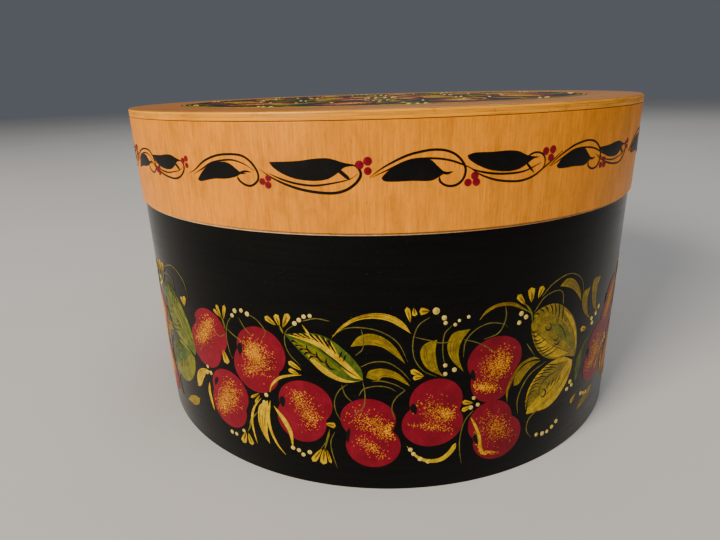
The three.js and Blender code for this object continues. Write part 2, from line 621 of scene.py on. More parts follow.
def round_side(radius):
    """Wraps a flat sheet round the side. Along 0 is the front, and up is height above the table."""
    def place(points):
        angle = points[:, 0] / radius
        out = radius + points[:, 2]
        return np.column_stack([out * np.sin(angle), -out * np.cos(angle), points[:, 1]])
    return place


def flat_top(height):
    def place(points):
        return np.column_stack([points[:, 0], points[:, 1], height + points[:, 2]])
    return place


# ---- Motifs ----

def other_edge(edge, between):
    """The second edge of a shape, from the first one's ends and the points between."""
    return [edge[0], *between, edge[-1]]


def two_lobes(lobes):
    """The outline of overlapping ovals, each given as across, up, half width and half height, seen
    from a point inside them all."""
    def reach(angle):
        c, s = math.cos(angle), math.sin(angle)
        far = 0
        for across, up, a, b in lobes:
            first = (c / a) ** 2 + (s / b) ** 2
            second = -2 * (across * c / a ** 2 + up * s / b ** 2)
            third = (across / a) ** 2 + (up / b) ** 2 - 1
            far = max(far, (-second + math.sqrt(second ** 2 - 4 * first * third)) / (2 * first))
        return far
    return reach


class Leaf:
    """A leaf with an upper edge that runs from its base to its tip, and a lower edge that has the
    same ends."""

    def __init__(self, sheet, colour, upper, lower):
        self.sheet = sheet
        count = max(16, len(smooth_line(upper)))
        self.edges = smooth_line(upper, count), smooth_line(other_edge(upper, lower), count)
        sheet.ribbon(colour, *self.edges, BASE, 12, 0.05)

    def at(self, along, down):
        """A point of the leaf, from base to tip and from upper to lower edge, each 0 to 1."""
        place = np.clip(along, 0, 1) * (len(self.edges[0]) - 1)
        steps = np.arange(len(self.edges[0]))
        high, low = (np.array([np.interp(place, steps, edge[:, axis]) for axis in (0, 1)])
                     for edge in self.edges)
        return tuple(high + (low - high) * down)

    def line(self, colour, points, width, layer=LINE, taper=(0.5, 0.5)):
        self.sheet.stroke(colour, [self.at(*point) for point in points], width, layer, taper)

    def patch(self, colour, outer, inner):
        self.sheet.crescent(colour, [self.at(*point) for point in outer],
                            [self.at(*point) for point in other_edge(outer, inner)], GLAZE)

    def row(self, colour, count, points, width, taper):
        """A row of like strokes from the base on."""
        for number in range(count):
            along = 0.06 + 0.065 * number
            self.line(colour, [(along + forward, down) for forward, down in points], width, LINE, taper)

    def fringe(self, colour, edge, start, end, count, depth, lean, width):
        """Short strokes inward from the upper (0) or lower (1) edge."""
        for number in range(count):
            along = start + (end - start) * number / max(1, count - 1)
            inward = depth * chance.uniform(0.75, 1.15)
            sign = 1 if edge == 0 else -1
            points = [(along, edge), (along + lean * 0.6, edge + sign * inward * 0.5),
                      (along + lean, edge + sign * inward)]
            self.line(colour, points, width, LINE, (0.35, 0.65))

    def streaks(self, colour, count, width):
        """Fine lines from base to tip, left by the bristles."""
        for number in range(count):
            down = 0.1 + 0.8 * (number + chance.uniform(0.2, 0.8)) / count
            start, end = chance.uniform(0.08, 0.35), chance.uniform(0.6, 0.92)
            middle = (start + end) / 2
            self.line(colour, [(start, down), (middle, down + chance.uniform(-0.02, 0.02)),
                               (end, down)], width, GLAZE)


def drop(sheet, tip, end, width):
    """A pointed drop of gold with its round end away from the stalk, browner along its middle."""
    middle = ((tip[0] + end[0]) / 2, (tip[1] + end[1]) / 2)
    sheet.stroke("gold", [tip, middle, end], width, BASE, (0.9, 0.16), 4)
    sheet.stroke("brown", [tip, middle, (end[0] * 0.8 + tip[0] * 0.2, end[1] * 0.8 + tip[1] * 0.2)],
                 width * 0.3, LINE, (0.5, 0.5))


def dots(sheet, places, radius):
    for place in places:
        sheet.dot("cream", place, radius * chance.uniform(0.85, 1.12))


# ---- The body's bouquet ----

# Each apple: its upper and lower lobe (along, up, half width, half height), the start, end and
# width of its stem mark, and its patches of gold (along, up, half length, half width, turn, dabs).
APPLES = [
    [(-74.5, 57.5, 10.4, 10.2), (-78.5, 50.5, 10, 10), (-83.5, 61.8), (-85.3, 57.8), 2,
     [(-77, 57.5, 8, 4, 50, 448), (-80.5, 53.5, 6, 4, 35, 240), (-75, 60, 6, 4, 60, 144)]],
    [(-66.5, 33, 10.4, 9.9), (-68, 25.5, 10, 9.9), (-72.8, 37.5), (-75.2, 33), 1.9,
     [(-68, 31, 9, 4.5, 55, 528), (-71.5, 25, 6, 4, 50, 304), (-65, 29, 7, 4, 65, 208)]],
    [(-48, 55.5, 11, 10.3), (-51, 47.5, 10.6, 10.3), (-57, 57.5), (-57.9, 51.8), 2.4,
     [(-51.5, 54.5, 6, 4.5, 80, 672), (-47.5, 53, 7, 5, 90, 352), (-52, 47, 6, 3, 20, 176)]],
    [(-30.5, 36.8, 10.9, 9.5), (-32.5, 29, 10.2, 9.9), (-39.6, 38.2), (-39.8, 33.2), 2.5,
     [(-30, 33.5, 7, 5, -60, 336), (-33, 38.5, 4, 4, 0, 112), (-29, 29.5, 4, 4, 0, 96)]],
    [(-6.5, 31.8, 10.4, 9.1), (-4.8, 20.2, 10.4, 9.6), (-13.6, 27.8), (-14.4, 21), 1.5,
     [(-5, 30, 9, 5, -25, 416), (1.5, 27, 5, 3.5, 20, 240), (-6, 20, 7, 3, -40, 208)]],
    [(18.8, 38.8, 10, 9.6), (17.6, 29.2, 11.7, 9.9), (10.2, 38.6), (11.2, 34), 2.5,
     [(19, 34, 8, 6, -50, 304), (22.5, 33, 4, 3, -20, 240), (17, 28, 8, 2, -15, 144)]],
    [(41.4, 52.8, 11.3, 9.4), (40.8, 44.6, 9.1, 9.6), (32.2, 50.3), (33.2, 45.4), 1.8,
     [(41.5, 50, 8, 6, 60, 672), (37.5, 42, 7, 2.2, -15, 320), (45, 50, 5, 3, 70, 192)]],
    [(40.8, 26, 9.4, 9.5), (44.5, 18.1, 10.7, 9.8), (34.2, 22.3), (35.9, 16.8), 1.8,
     [(43.5, 22.5, 8, 6, -45, 416), (36.5, 16, 7, 1, -70, 144), (40.5, 12, 4, 1, -15, 80)]],
]
GAP_APPLE = [
    (106, 41, 10.5, 9.8), (103.5, 33, 10.8, 9.8), (96.5, 41.5), (96.2, 36.5), 2,
    [(104.5, 38, 8, 6, 60, 608), (101, 33, 6, 3, 20, 192)]]

# Each crescent: its paint, its outer edge, then the points of its inner edge between the same ends.
CRESCENTS = [
    ["gold", [(-18.7, 64.9), (-15, 69.8), (-9.6, 73.5), (-3, 75), (2.7, 74), (6.9, 71), (9.2, 67)],
     [(-14.5, 69), (-9, 72.3), (-3, 73), (2, 71.8), (6, 69.3)]],
    ["dull", [(-12, 62), (-9, 66), (-4.4, 67.2), (0.5, 65.2), (4.2, 61.2), (7.3, 55.3)],
     [(-8, 62.6), (-4.5, 62.9), (-0.5, 61.8), (3.2, 59)]],
    ["dull", [(-6.7, 49.8), (-5.5, 52.5), (-1.2, 53.5), (3.4, 52.2), (6.6, 49.5), (9, 46)],
     [(-2.5, 48.5), (-1, 50), (2.5, 49.7), (5.5, 48.2)]],
    ["dull", [(18.5, 64), (14, 62.5), (12.6, 58.6), (15, 53), (21.2, 49)],
     [(18, 59.5), (18.5, 55), (19.5, 51.5)]],
    ["dull", [(30.6, 66.8), (24.5, 66), (22.3, 61), (24, 55.5), (28.7, 50)],
     [(27.5, 62.5), (26.5, 58), (27.2, 54)]],
    ["dull", [(50.2, 39.6), (50.3, 43.4), (53.5, 46.7), (57.6, 48.1), (62.5, 47.2)],
     [(52.5, 40), (54.8, 43), (58.2, 45.8)]],
    ["dull", [(34, 69.8), (36.5, 73.2), (41, 75), (46.2, 74.7), (49.8, 73.1), (56, 68.4)],
     [(36.8, 72.2), (41, 73.8), (46, 73.4), (49.6, 71.9)]],
    ["dull", [(47.6, 33.3), (46.8, 38.8), (48.7, 43.6), (52.7, 48.5), (58.3, 49.9), (62.2, 48)],
     [(47.9, 38.4), (49.7, 42.8), (53.3, 47.5), (58.3, 48.8)]],
    ["gold", [(-46.6, 34.6), (-51, 31), (-52.2, 24.2), (-50.5, 18), (-47.6, 14.2)],
     [(-46.8, 29), (-47.8, 24.2), (-48.2, 19)]],
    ["gold", [(-89.5, 26.8), (-89.3, 32), (-86.3, 36.3), (-81.5, 38.6), (-77.5, 38.3)],
     [(-86.5, 28.5), (-84, 32.5), (-81, 36.2)]],
    ["dull", [(-104, 13.5), (-97, 14), (-92, 16.5), (-89.5, 20.5)],
     [(-99.5, 17.5), (-94.5, 19.8)]],
]
GAP_CRESCENTS = [
    ["dull", [(69.3, 76.3), (73.2, 78.5), (77.8, 76.9), (81.8, 72.4), (84.2, 66.4)],
     [(73.5, 75), (77, 73.3), (80.5, 70.5)]],
    ["dull", [(90, 70.7), (85.8, 70), (85, 66), (87.5, 60.5), (94, 55.5)],
     [(89, 66.5), (89.5, 62.5), (91.2, 58.5)]],
    ["dull", [(99, 73), (93.5, 73.5), (92.2, 69.5), (94.5, 62), (100, 56)],
     [(97, 68.5), (97, 63.5), (98.5, 59)]],
    ["green", [(94, 49.2), (87.5, 43.5), (85.3, 35.5), (87, 29)],
     [(90.5, 43), (89.5, 36)]],
]

# Each golden stroke: its width, how much of its length each end thins out over, and its points.
GOLD_STROKES = [
    (1.3, 0.3, 0.6, [(-45.4, 34.8), (-47, 27.5), (-46.5, 21), (-44, 15), (-40.6, 11)]),
    (2.2, 0.5, 0.7, [(-44, 32.8), (-40, 27.5), (-37.5, 22.2), (-37, 15.5)]),
    (1.1, 0.5, 0.5, [(-49.7, 34.8), (-53.6, 29.5), (-55.5, 23), (-55, 17), (-54, 12.3)]),
    (1.7, 0.4, 0.5, [(-79.2, 32.8), (-80, 28), (-79.3, 23.5), (-78.3, 19.5)]),
    (1.8, 0.8, 0.08, [(7.9, 20), (11.2, 15.6), (15.7, 12.8), (21, 12.8), (24.8, 15.8), (26.7, 19.3)]),
    (1.1, 0.5, 0.6, [(-45.2, 38.7), (-44, 42), (-40.6, 45.7), (-36, 47.7), (-31, 48.7)]),
    (1.1, 0.3, 0.3, [(32.3, 30), (34.5, 25.5), (36.3, 20.5), (37.2, 15), (39.2, 11)]),
    (0.8, 0.5, 0.5, [(-29.3, 69.3), (-27.2, 66), (-25.5, 62.5)]),
]

# Drops of gold: each from its pointed end to its round end, with its width.
DROPS = [
    [(-66.5, 66), (-69.8, 68.6), 1.4], [(-66, 66), (-67.8, 71), 1.5], [(-64.6, 65.5), (-63.2, 71.8), 1.6],
    [(-39.9, 67.8), (-44.2, 70.6), 2.2], [(-38.4, 67.6), (-39.6, 72.2), 2.2],
    [(-37, 67.4), (-34.4, 73), 2.5],
    [(9.1, 71.2), (7.8, 77), 1.8], [(10.2, 76.6), (10.6, 73.6), 1.8], [(15.6, 75.2), (12.2, 75.2), 2.7],
    [(52.5, 72.6), (48.9, 77), 2.2], [(55.3, 73), (54.7, 78.8), 3], [(58.4, 74), (60.2, 78.4), 2.6],
    [(-59.6, 15.8), (-62, 9.8), 2.9], [(-58.4, 15.8), (-57, 10.4), 2.5],
    [(-24.8, 17), (-29, 10.4), 2.4], [(-23.9, 17), (-24.6, 9.8), 2.8], [(-23, 17), (-21.4, 10.8), 1.3],
    [(-22.6, 28.8), (-18.8, 28.3), 2.4], [(14, 49.7), (9.2, 52.5), 2.2], [(13.6, 49.5), (10, 49.2), 1.8],
    [(-31, 50.7), (-36, 53.6), 2.1], [(-32, 48.8), (-36.2, 50.3), 1.8], [(-67.3, 52), (-65.6, 45.8), 3.3],
    [(33, 36), (28.8, 37.2), 1.9], [(32.5, 35), (28.6, 33.4), 1.9],
    [(-50.5, 36.8), (-54.8, 33.8), 1.1], [(-50.3, 36), (-52.8, 32), 1.1],
]

# Stalks that carry the drops, in green-gold.
STALKS = [
    [(-65.8, 66.5), (-65, 64.6), (-64.2, 61)], [(-38.3, 68), (-37.8, 66.5), (-37, 64.8)],
    [(52, 73.3), (54.2, 71), (56, 68), (56.4, 65)],
    [(-58.6, 16.5), (-57, 19.5), (-56, 23), (-52, 28)], [(-23.8, 16.5), (-22.6, 21), (-21.2, 26.5)],
]

DOTS = [
    (-59.6, 68.3), (-58, 70.5), (-54.8, 71.2), (-52.1, 70.3), (-32.2, 69.5), (-30.4, 71),
    (-28.5, 72.5), (-26.2, 73), (20.9, 72.2), (21.4, 70.2), (51.1, 69.4), (53.3, 67.6),
    (50.4, 65.9), (21.7, 53.5), (21.8, 50), (25.2, 51.3), (-79, 40.4), (-79.9, 37.4),
    (-77.2, 38), (-68, 12.9), (-65.3, 12.9), (-60.7, 16.2), (-37, 15.2), (-34.5, 14.6),
    (-32.7, 12.9), (-29.9, 14.6), (-47, 37), (-48.3, 33.5), (9.2, 18.5), (10.4, 16.4),
    (13, 13.9), (16, 12.3),
    (33.2, 38.2), (32.2, 34.3), (35, 35),
]
SMALL_DOTS = [(24.9, 69.2), (26.4, 70.6), (29.8, 71.6)]
BIG_DOTS = [(18, 75)]
GAP_DOTS = [
    (82.8, 30.7), (84.2, 28.7), (81, 28), (95, 55.5), (95.9, 53.2), (98.8, 56.5), (64.1, 12.8),
    (67.6, 11.9), (70.4, 11.8), (73.2, 12.9), (75.8, 14.6), (93.5, 20.5), (96, 19.5), (98.5, 19),
    (101, 59)]

TENDRILS = [
    [(-59.8, 67.9), (-62.7, 64.2), (-64, 58.6), (-63.3, 52), (-62, 49.3)],
    [(-52, 70.3), (-48.4, 69), (-45.5, 66.2), (-44.5, 63.9), (-46.5, 61)],
    [(-56.5, 68.2), (-54.3, 64.6), (-51.3, 61.6)],
    [(-63.4, 62), (-59.5, 59.6), (-54.3, 57.6)],
    [(-70.8, 58.6), (-68, 57.4), (-64.6, 59.3)],
    [(-32.2, 69), (-35.8, 66), (-36.7, 61.2), (-35, 56.6), (-31, 52.6)],
    [(-29, 70.8), (-24, 72.2), (-19, 71.5)],
    [(-18.4, 66), (-13.5, 69), (-7.7, 69.5), (-1.2, 68), (4.7, 63.6), (8.2, 56)],
    [(-8, 69), (-7.3, 65.2), (-7.7, 61.2), (-10.3, 58.6)],
    [(-8.6, 54), (-4.4, 56), (0.8, 56), (5.3, 53), (9.2, 48.3)],
    [(-4.7, 48.3), (-0.5, 48.3), (4, 46.7), (7.3, 44.4)],
    [(7.3, 44.4), (4, 41.4), (2.4, 37.4), (3.4, 32)],
    [(-9.6, 42), (-7.7, 45), (-3, 46.3), (1.4, 45.7), (4, 44)],
    [(-8, 48.3), (-7.3, 42.7), (-8, 37.4), (-11.6, 33.4)],
    [(-13.5, 46.7), (-16.7, 44), (-18.7, 39.4), (-18.4, 34.8), (-16.7, 31)],
    [(-15.8, 46.3), (-14.5, 42), (-12.2, 39.4)],
    [(15.7, 72.8), (11.8, 69.8), (10, 64), (10.5, 57.3), (13.8, 52), (18.6, 49.3)],
    [(23.8, 69), (21.2, 66), (20.6, 60.6), (21.2, 55.3), (22.2, 54)],
    [(10.8, 65.5), (15.7, 64), (20.2, 62.6), (26, 63)],
    [(28.4, 56), (29, 62), (32.6, 66.2), (37.8, 68), (43, 67), (45.6, 65.2)],
    [(44, 73.5), (44.6, 69.8), (43.6, 66), (41.3, 63.2), (36, 62)],
    [(28.4, 63), (33.2, 61.2), (38.4, 58), (41, 55.6)],
    [(57, 68.7), (61.5, 73.7), (68, 75), (71.3, 73), (72, 68.4)],
    [(60.2, 74.3), (65.4, 78.3), (73.2, 80.3), (79.7, 78.3), (83.6, 74.3), (85, 68.4)],
    [(54.7, 56.5), (57, 53.2), (59.3, 50)],
    [(53, 26.7), (52.4, 32.6), (54.4, 38.6), (58.3, 43.2), (65.4, 46)],
    [(63.5, 25), (59, 22), (58.3, 16.8), (61, 12.8)],
    [(33.2, 32.8), (30, 28.8), (28.4, 22.2), (28.4, 15.6), (29.3, 9.6)],
    [(-19.3, 25.5), (-21, 21), (-20.6, 15.6), (-19, 9)],
    [(-21.3, 26.2), (-22, 22.2), (-25.2, 17)],
]


SPREAD = 0.45  # how widely a patch's dabs scatter, as a share of its half length and width


def paint_apple(sheet, upper, lower, start, end, width, patches):
    """A red apple made of two lobes, with a black stem mark and gold stippled on with a brush."""
    centre = ((upper[0] + lower[0]) / 2, (upper[1] + lower[1]) / 2)
    outline = two_lobes([(u - centre[0], v - centre[1], a, b) for u, v, a, b in (upper, lower)])
    sheet.blob("red", centre, outline, BASE, crown=0.05, sectors=72, rings=10)
    bend = ((start[0] + end[0]) / 2 - 0.3, (start[1] + end[1]) / 2)
    sheet.stroke("black", [start, bend, end], width, LINE, (0.35, 0.6), 3)
    for u, v, long, short, turn, count in patches:
        angle = math.radians(turn)
        for _ in range(count):
            x, y = chance.gauss(0, SPREAD) * long, chance.gauss(0, SPREAD) * short
            spot = (u + x * math.cos(angle) - y * math.sin(angle),
                    v + x * math.sin(angle) + y * math.cos(angle))
            across, up = spot[0] - centre[0], spot[1] - centre[1]
            if math.hypot(across, up) > 0.9 * outline(math.atan2(up, across)):
                continue
            sheet.dab("stipple", spot, chance.uniform(0.2, 0.52), chance.uniform(0.15, 0.3),
                      chance.uniform(0, math.pi))


def shade_crescent(sheet, outer, inner):
    """Thin darker lines that the brush left along a crescent."""
    high, low = smooth_line(outer, 16), smooth_line(inner, 16)
    for share, first, last in ((0.2, 2, 14), (0.45, 4, 12), (0.75, 3, 13)):
        line = high + (low - high) * (share + chance.uniform(-0.06, 0.06))
        sheet.stroke("brown", line[first:last], 0.34, GLAZE)


def slender_leaf(sheet):
    """The long leaf above the middle: green, with a golden midrib and lower edge."""
    leaf = Leaf(
        sheet, "green",
        [(-36.5, 64.8), (-31.5, 65.7), (-25, 66.3), (-19.3, 64.5), (-13, 59.3), (-8.6, 53.3),
         (-7.8, 48.7)],
        [(-34, 61.8), (-29.6, 57.2), (-25, 52.8), (-20.8, 49.4), (-16, 47.5), (-11, 47.6)])
    leaf.patch("gold", [(0.02, 0.35), (0.2, 0.26), (0.42, 0.22), (0.62, 0.24), (0.82, 0.3), (0.99, 0.5)],
               [(0.2, 0.42), (0.4, 0.42), (0.6, 0.46), (0.82, 0.66)])
    leaf.patch("gold", [(0.3, 0.84), (0.5, 0.82), (0.7, 0.84), (0.85, 0.88), (0.97, 0.95)],
               [(0.42, 0.98), (0.6, 0.99), (0.8, 0.99)])
    leaf.patch("olive", [(0.12, 0.55), (0.35, 0.5), (0.5, 0.5), (0.7, 0.62)], [(0.25, 0.9), (0.5, 0.8)])
    leaf.line("black", [(0.38, 0.44), (0.55, 0.44), (0.75, 0.48), (0.95, 0.52)], 0.65)
    leaf.row("black", 7, [(0, 0.02), (0.04, 0.12), (0.13, 0.26)], 0.9, (0.3, 0.7))
    leaf.row("gold", 7, [(0.03, 0.03), (0.07, 0.12), (0.15, 0.24)], 0.6, (0.4, 0.5))
    leaf.row("black", 5, [(0.04, 0.98), (0.06, 0.8), (0.13, 0.7)], 0.9, (0.3, 0.7))
    leaf.row("dull", 5, [(0.06, 0.95), (0.09, 0.8), (0.15, 0.74)], 0.7, (0.4, 0.5))
    for along in (0.3, 0.42, 0.54):
        hook = [(along - 0.02, 0.54), (along, 0.68), (along + 0.07, 0.74), (along + 0.11, 0.66)]
        leaf.line("black", hook, 0.9)
    for along in (0.62, 0.67):
        leaf.line("black", [(along, 0.08), (along + 0.01, 0.3)], 0.7)
    leaf.line("black", [(0.44, 0.06), (0.46, 0.14), (0.52, 0.18)], 1.3)


def round_leaf(sheet, ground):
    """The upper right leaf, with dark marks along its left edge."""
    leaf = Leaf(
        sheet, ground[0],
        [(56.2, 63.8), (57.6, 68), (61.5, 69.8), (68, 69.7), (74.5, 66), (80.4, 59.8), (83.6, 52.5),
         (84.6, 44.6), (83.5, 42.3)],
        [(57, 59), (59.6, 53.2), (64, 48.5), (70, 45.6), (77, 44.6)])
    leaf.patch("olive", [(0.3, 0.42), (0.5, 0.3), (0.7, 0.3), (0.9, 0.42)], [(0.5, 0.52), (0.7, 0.55)])
    leaf.patch(ground[1], [(0.15, 0.8), (0.35, 0.74), (0.6, 0.74), (0.85, 0.8)],
               [(0.35, 0.93), (0.6, 0.95)])
    leaf.patch(ground[1], [(0.4, 0.05), (0.6, 0.03), (0.8, 0.04), (0.93, 0.15)],
               [(0.6, 0.14), (0.8, 0.17)])
    leaf.streaks("gold", 5, 0.2)
    leaf.streaks("green", 7, 0.24)
    leaf.fringe("black", 0, 0.03, 0.4, 8, 0.26, 0.07, 0.6)
    leaf.fringe("black", 1, 0.06, 0.46, 8, 0.3, 0.14, 0.6)
    sheet.stroke("black", [(63, 61.5), (64.5, 59.5), (66.3, 60), (66, 62)], 0.7)
    sheet.stroke("black", [(70, 61), (74, 57), (76.5, 52)], 0.5)
    for right, down in ((0, 0), (1, 2)):
        tick = [(68 + right, 54.5 - down), (70 + right, 53.8 - down), (71.5 + right, 55 - down)]
        sheet.stroke("black", tick, 0.6)


def golden_leaf(sheet, ground):
    """The lower right leaf, with dark marks along its left edge."""
    leaf = Leaf(
        sheet, ground[1],
        [(57.6, 24.7), (56.7, 30), (57.6, 36), (61.5, 41.3), (68, 44.6), (75.8, 44.6), (82.6, 41)],
        [(63, 24.3), (69, 24), (74.5, 26.4), (79.4, 31), (82.2, 36.5)])
    leaf.patch(ground[0], [(0.08, 0.2), (0.3, 0.05), (0.6, 0.08), (0.9, 0.2)],
               [(0.35, 0.5), (0.6, 0.58)])
    leaf.streaks("olive", 8, 0.3)
    leaf.streaks("green", 5, 0.3)
    leaf.fringe("black", 0, 0.03, 0.58, 13, 0.3, 0.13, 0.5)
    sheet.stroke("black", [(63.5, 30), (63.3, 35), (67, 38.6), (74.5, 39.8)], 0.5)
    sheet.stroke("black", [(64, 31.5), (65.4, 30), (67, 31.5), (66, 33.5), (64.5, 33.8)], 0.7)
    for right in (0, 2, 4, 6):
        sheet.stroke("black", [(67.5 + right, 33), (68.5 + right, 35.5), (69 + right, 37.5)], 0.5)


def bouquet(sheet, with_gap, ground):
    """One bouquet of the body's painted band, with what fills the wider gap after it.
    ground names the two paints of the right-hand leaves."""
    for item in APPLES + ([GAP_APPLE] if with_gap else []):
        paint_apple(sheet, *item)
    slender_leaf(sheet)
    round_leaf(sheet, ground)
    golden_leaf(sheet, ground)
    for colour, outer, between in CRESCENTS + (GAP_CRESCENTS if with_gap else []):
        inner = other_edge(outer, between)
        sheet.crescent(colour, outer, inner)
        shade_crescent(sheet, outer, inner)
    for width, start, end, points in GOLD_STROKES:
        sheet.stroke("gold", points, width, LINE, (start, end), 3)
    for tip, end, width in DROPS:
        drop(sheet, tip, end, width)
    for points in STALKS:
        sheet.stroke("olive", points, 0.8, BASE)
    for points in TENDRILS:
        sheet.stroke("tendril", points, 0.36, LINE, (0.2, 0.3))
    dots(sheet, DOTS, 0.86)
    dots(sheet, SMALL_DOTS, 0.6)
    dots(sheet, BIG_DOTS, 1.15)
    if with_gap:
        drop(sheet, (91, 52.5), (86.5, 53.5), 2.4)
        drop(sheet, (88.5, 22.5), (85, 19.5), 2.2)
        dots(sheet, GAP_DOTS, 0.92)
    else:
        drop(sheet, (79.8, 64.2), (78, 68), 2)
        drop(sheet, (80, 64.2), (81.3, 69), 2)


def paint_body(paints):
    sheet = Sheet(round_side(body_radius))
    golden, greener = ("dull", "gold"), ("green", "olive")
    for turn, with_gap, ground in ((0, True, golden), (93.9, True, golden), (187.8, False, golden),
                                   (277.4, False, greener)):
        sheet.move((math.radians(turn) * body_radius, 0))
        bouquet(sheet, with_gap, ground)
    sheet.finish("body", paints, "box", "black_lacquer")


# ---- The lid's garland ----

# Four sprays of the garland: height of its middle, the leaf's two edges, stems (width, how much of
# its length each end thins out over, points) and berries, in millimetres from the spray's middle.
STANDING = (
    19.1,
    [[(-10, -3.1), (-8, -1), (-5.2, 1.2), (-1.4, 2.9), (3, 3.5), (5.7, 3.1), (8, 1.7), (10.5, 0)],
     [(-10, -3.1), (-8.8, -3.8), (-5.7, -3.2), (-1.4, -2.4), (3.8, -2.1), (8, -1.2), (10.5, 0)]],
    [(0.75, 0.3, 0.02, [
        (-14.8, -1.4), (-11.2, 0), (-5.7, 3.4), (0.5, 5.5), (6.2, 6.1), (11, 5.8), (14.3, 4), (16.4, 1.4),
        (17, -0.8), (16.2, -2.6), (13.8, -4), (11.4, -3.7), (9.3, -2.4), (8.6, -1)]),
     (0.65, 0.4, 0.5, [
         (-11.7, -1.4), (-7, 0.7), (-2.4, 2.9), (3, 4), (7.6, 4.2), (12, 3), (15.7, 1)]),
     (0.8, 0.02, 0.8, [(9.6, 0), (11.9, 0.7), (14.5, 0.5)]), (0.5, 0.02, 0.8, [(9.6, 0), (12.4, -0.1)])],
    [(18.3, -2.4, 1.15), (20.6, -1.2, 1.1), (20.4, -3.5, 1.2)])
HANGING = (
    20.8,
    [[(-13.6, 2.3), (-7.6, 2.5), (-3, 2.8), (1.4, 3.4), (5.7, 3.6), (8.6, 3), (11, 2.2), (14.8, 1.5)],
     [(-13.6, 2.3), (-12.4, 0.7), (-9.5, -1.2), (-4.8, -2.9), (1, -3.5), (5.7, -3), (9, -1.2),
      (11.4, 0.7), (14.8, 1.2)]],
    [(0.9, 0.4, 0.15, [
        (-17.4, 0), (-13.3, -2.6), (-7.6, -5), (-1, -6.7), (6.7, -7.4), (11.4, -6.5), (14.8, -4.3),
        (16.4, -2), (16.2, -0.2), (14.8, 1.2), (12.5, 1.3)]),
     (0.7, 0.3, 0.6, [
         (-14.5, -1.2), (-10, -3), (-4.8, -4.4), (1.4, -5), (7.6, -4.2), (12.9, -3), (15.5, -1.4)]),
     (1.2, 0.02, 0.3, [(8.8, 0.2), (10.3, -0.8), (13.1, -3.2)])],
    [(16.1, 1.4, 1.4), (18.7, 2.5, 1.4), (18.7, -0.5, 1.25)])
STANDING_BROAD = (
    20.3,
    [[(-9.6, -2.2), (-7.6, -0.2), (-4.3, 1.7), (-0.5, 3), (2.4, 3.3), (5.7, 2.9), (7.6, 1.2),
      (10.2, -1.2)],
     [(-9.6, -2.2), (-8.6, -3.3), (-4.8, -3.5), (0, -3.4), (5.7, -3.6), (8.6, -2.4), (10.2, -1.4)]],
    [(0.75, 0.3, 0.02, [
        (-13.3, -2), (-8.6, 1.2), (-2, 4.3), (3, 5.5), (6.7, 5.9), (10.5, 5.5), (13.8, 4), (16.2, 1.4),
        (17, -1.2), (16, -3.9), (13.8, -5.4), (11, -5.4), (8.8, -4), (8.6, -2.4)]),
     (0.65, 0.4, 0.2, [
         (-12.6, -2), (-7.6, 0.2), (-2, 2.6), (2, 3.3), (7.6, 3.2), (12.4, 2.3), (17, 0.5),
         (19.5, -0.6)]),
     (0.9, 0.02, 0.7, [(9.2, -1), (11, -1.5), (13, -1)])],
    [(17.9, -4.8, 1.25), (20.1, -2.8, 1.3), (20.7, -4.8, 1.3)])
HANGING_BROAD = (
    21.2,
    [[(-12.1, 2.8), (-9.5, 3.5), (-3.8, 3.4), (1.9, 3.5), (5.7, 3), (9.5, 1.4), (13.8, 0.7)],
     [(-12.1, 2.8), (-11.4, 1.4), (-8, -0.7), (-3.8, -2.3), (1.9, -3.1), (6.2, -2.6), (9.5, -1),
      (11.4, 0.2), (13.8, 0.6)]],
    [(0.7, 0.3, 0.5, [
        (-11.9, -0.5), (-7.6, -3.4), (-2, -5.5), (3.8, -6.4), (8, -6.4), (12.4, -5.2), (17, -2.4),
        (21, 0), (23.8, 1.9)]),
     (0.7, 0.3, 0.5, [(-12.4, -0.5), (-8.6, -2.2), (-3, -3.4), (3, -3.8), (8.6, -3.4), (14.8, -1.2)]),
     (0.6, 0.1, 0.5, [(9.3, 1.3), (12, 2.2), (14.8, 1.7), (16.3, -0.2), (16.2, -2.2), (15.2, -3.4)]),
     (0.8, 0.02, 0.5, [(9, -1), (12.1, -4.2)])],
    [(16.4, 2.3, 1.3), (19.4, 2.6, 1.35), (18.8, 0, 1.25)])


HIDDEN_SPRAYS = 18  # that the photo doesn't show, at even steps round the back


def paint_lid_side(paints):
    """The garland: black leaves, turn about standing and hanging, with red berries in threes."""
    sheet = Sheet(round_side(lid_radius))
    seen = [(-53, STANDING, 0.85), (-42, HANGING, 0.78), (-27.7, STANDING, 1), (-11, HANGING, 1),
            (4.5, STANDING_BROAD, 1), (18.6, HANGING_BROAD, 1), (33, STANDING_BROAD, 0.88),
            (44.5, HANGING, 0.74)]
    kinds = [STANDING_BROAD, HANGING_BROAD, STANDING, HANGING]
    gap = (360 - seen[-1][0] + seen[0][0]) / (HIDDEN_SPRAYS + 1)
    hidden = [(seen[-1][0] + gap * number, kinds[(number - 1) % 4], chance.uniform(0.9, 1))
              for number in range(1, HIDDEN_SPRAYS + 1)]
    for turn, (height, leaf, stems, berries), size in seen + hidden:
        sheet.move((math.radians(turn) * lid_radius, lid_bottom + height), 0, size)
        sheet.crescent("black", *leaf, BASE, 8)
        for width, start, end, points in stems:
            sheet.stroke("black", points, width, BASE, (start, end))
        for across, up, radius in berries:
            sheet.dot("red", (across, up), radius, BASE, 0.12)
    sheet.finish("lid", paints, "lid", "honey_wood")


# ---- The lid's top ----

